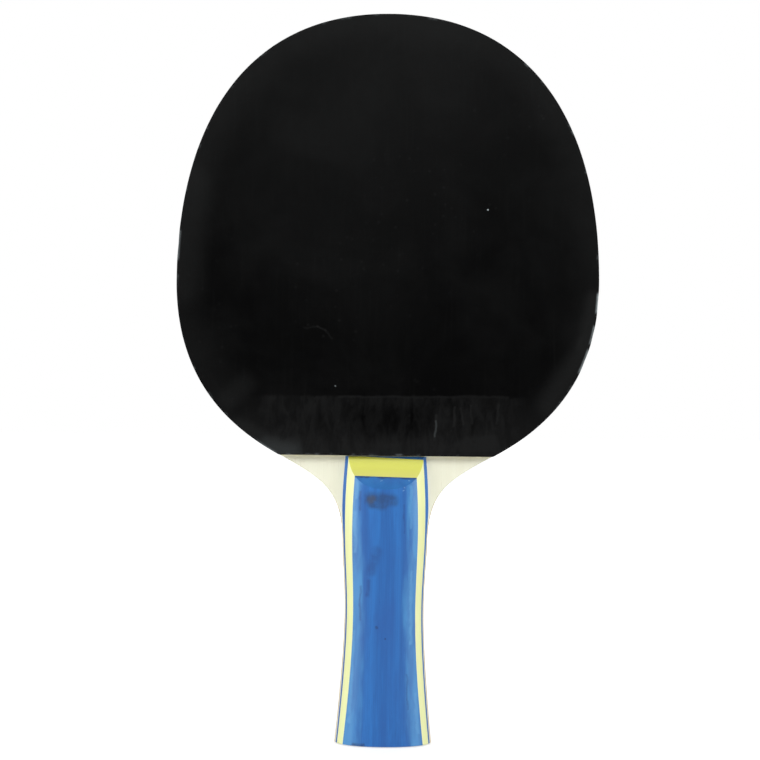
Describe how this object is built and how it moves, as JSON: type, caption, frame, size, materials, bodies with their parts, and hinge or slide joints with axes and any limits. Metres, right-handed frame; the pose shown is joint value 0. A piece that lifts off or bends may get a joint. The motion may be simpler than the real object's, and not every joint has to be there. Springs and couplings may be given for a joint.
{
  "type": "table tennis paddle",
  "caption": "Shakehand table tennis paddle: rounded plywood blade with smooth rubber on sponge on both faces and a flared, laminated wooden handle with sloping top ends.",
  "frame": {"origin": "centre of the flat butt end of the handle, in the middle of the blade's thickness", "axes": "+Z from the butt to the top of the head, +X across the head, and the front (black) rubber faces -Y"},
  "size_m": [0.15, 0.0246, 0.2592],
  "materials": {
    "core_wood": "pale light wood, sanded edge",
    "cross_ply_wood": "slightly darker wood, grain across the blade",
    "face_ply_wood": "pale cream veneer, sanded",
    "sponge": "pale yellow foam rubber",
    "black_topsheet": "smooth black rubber, dusty and lightly scuffed",
    "red_topsheet": "smooth red rubber, lightly scuffed",
    "blue_stained_wood": "blue stained veneer under thin lacquer",
    "yellow_stained_wood": "pale yellow stained wood under thin lacquer"
  },
  "bodies": {
    "root": {"core_ply": "core_wood", "front_cross_ply": "cross_ply_wood", "back_cross_ply": "cross_ply_wood", "front_face_ply": "face_ply_wood", "back_face_ply": "face_ply_wood", "front_sponge": "sponge", "back_sponge": "sponge", "front_topsheet": "black_topsheet", "back_topsheet": "red_topsheet", "front_handle_base_veneer": "blue_stained_wood", "back_handle_base_veneer": "blue_stained_wood", "front_handle_stripe": "yellow_stained_wood", "back_handle_stripe": "yellow_stained_wood", "front_handle_slab": "blue_stained_wood", "back_handle_slab": "blue_stained_wood"}
  },
  "joints": []
}
